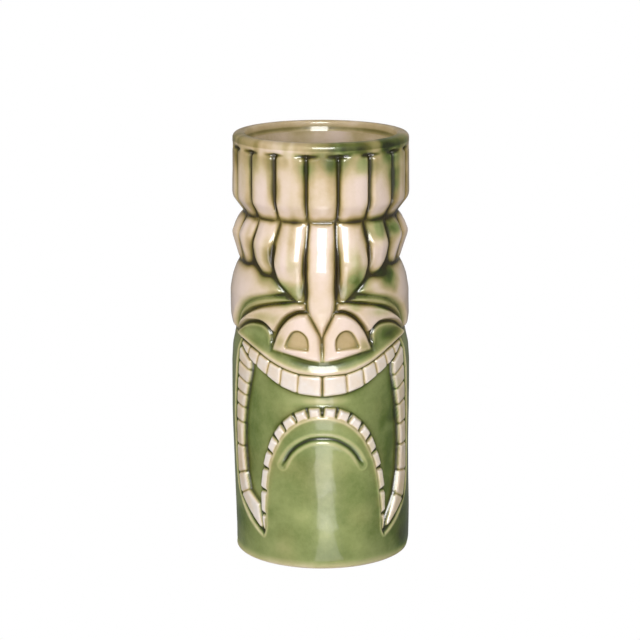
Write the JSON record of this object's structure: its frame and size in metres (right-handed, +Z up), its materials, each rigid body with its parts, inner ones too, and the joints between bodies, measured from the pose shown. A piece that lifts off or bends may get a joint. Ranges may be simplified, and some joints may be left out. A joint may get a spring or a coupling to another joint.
{
  "type": "tiki mug",
  "caption": "Tall straight-sided glazed ceramic tumbler in carved-idol style: a toothy open-mouthed face, staved hair and crown in relief, no handle.",
  "frame": {"origin": "middle of the foot's underside, on the mug's axis", "axes": "+Z up to the rim, -Y out of the face, +X to a viewer's right when facing the face"},
  "size_m": [0.0698, 0.0703, 0.165],
  "materials": {
    "green_glaze": "gloss celadon-green glaze, darker where it pools",
    "relief_glaze": "gloss glaze, worn thin to cream on the high relief and olive in the grooves",
    "tooth_glaze": "gloss cream glaze with olive between the teeth",
    "foot_clay": "wiped bare stoneware"
  },
  "bodies": {
    "root": {"brow_left": "relief_glaze", "brow_right": "relief_glaze", "crown_stave_01": "relief_glaze", "crown_stave_02": "relief_glaze", "crown_stave_03": "relief_glaze", "crown_stave_04": "relief_glaze", "crown_stave_05": "relief_glaze", "crown_stave_06": "relief_glaze", "crown_stave_07": "relief_glaze", "crown_stave_08": "relief_glaze", "crown_stave_09": "relief_glaze", "crown_stave_10": "relief_glaze", "crown_stave_11": "relief_glaze", "crown_stave_12": "relief_glaze", "crown_stave_13": "relief_glaze", "crown_stave_14": "relief_glaze", "crown_stave_15": "relief_glaze", "crown_stave_16": "relief_glaze", "crown_stave_17": "relief_glaze", "crown_stave_18": "relief_glaze", "cup_floor": "green_glaze", "cup_wall": "green_glaze", "eye_left": "green_glaze", "eye_right": "green_glaze", "eyelid_left": "relief_glaze", "eyelid_right": "relief_glaze", "foot_ring": "foot_clay", "hair_stave_01": "relief_glaze", "hair_stave_02": "relief_glaze", "hair_stave_03": "relief_glaze", "hair_stave_04": "relief_glaze", "hair_stave_05": "relief_glaze", "hair_stave_06": "relief_glaze", "hair_stave_07": "relief_glaze", "hair_stave_08": "relief_glaze", "hair_stave_09": "relief_glaze", "hair_stave_10": "relief_glaze", "hair_stave_11": "relief_glaze", "hair_stave_12": "relief_glaze", "hair_stave_13": "relief_glaze", "hair_stave_14": "relief_glaze", "hair_stave_15": "relief_glaze", "hair_stave_16": "relief_glaze", "hair_stave_17": "relief_glaze", "lip_bead": "relief_glaze", "lower_teeth_left": "tooth_glaze", "lower_teeth_right": "tooth_glaze", "nose_bridge": "relief_glaze", "nostril_left": "relief_glaze", "nostril_right": "relief_glaze", "rim_band": "relief_glaze", "side_teeth_left": "tooth_glaze", "side_teeth_right": "tooth_glaze", "upper_lip": "relief_glaze", "upper_teeth_left": "tooth_glaze", "upper_teeth_right": "tooth_glaze"}
  },
  "joints": []
}
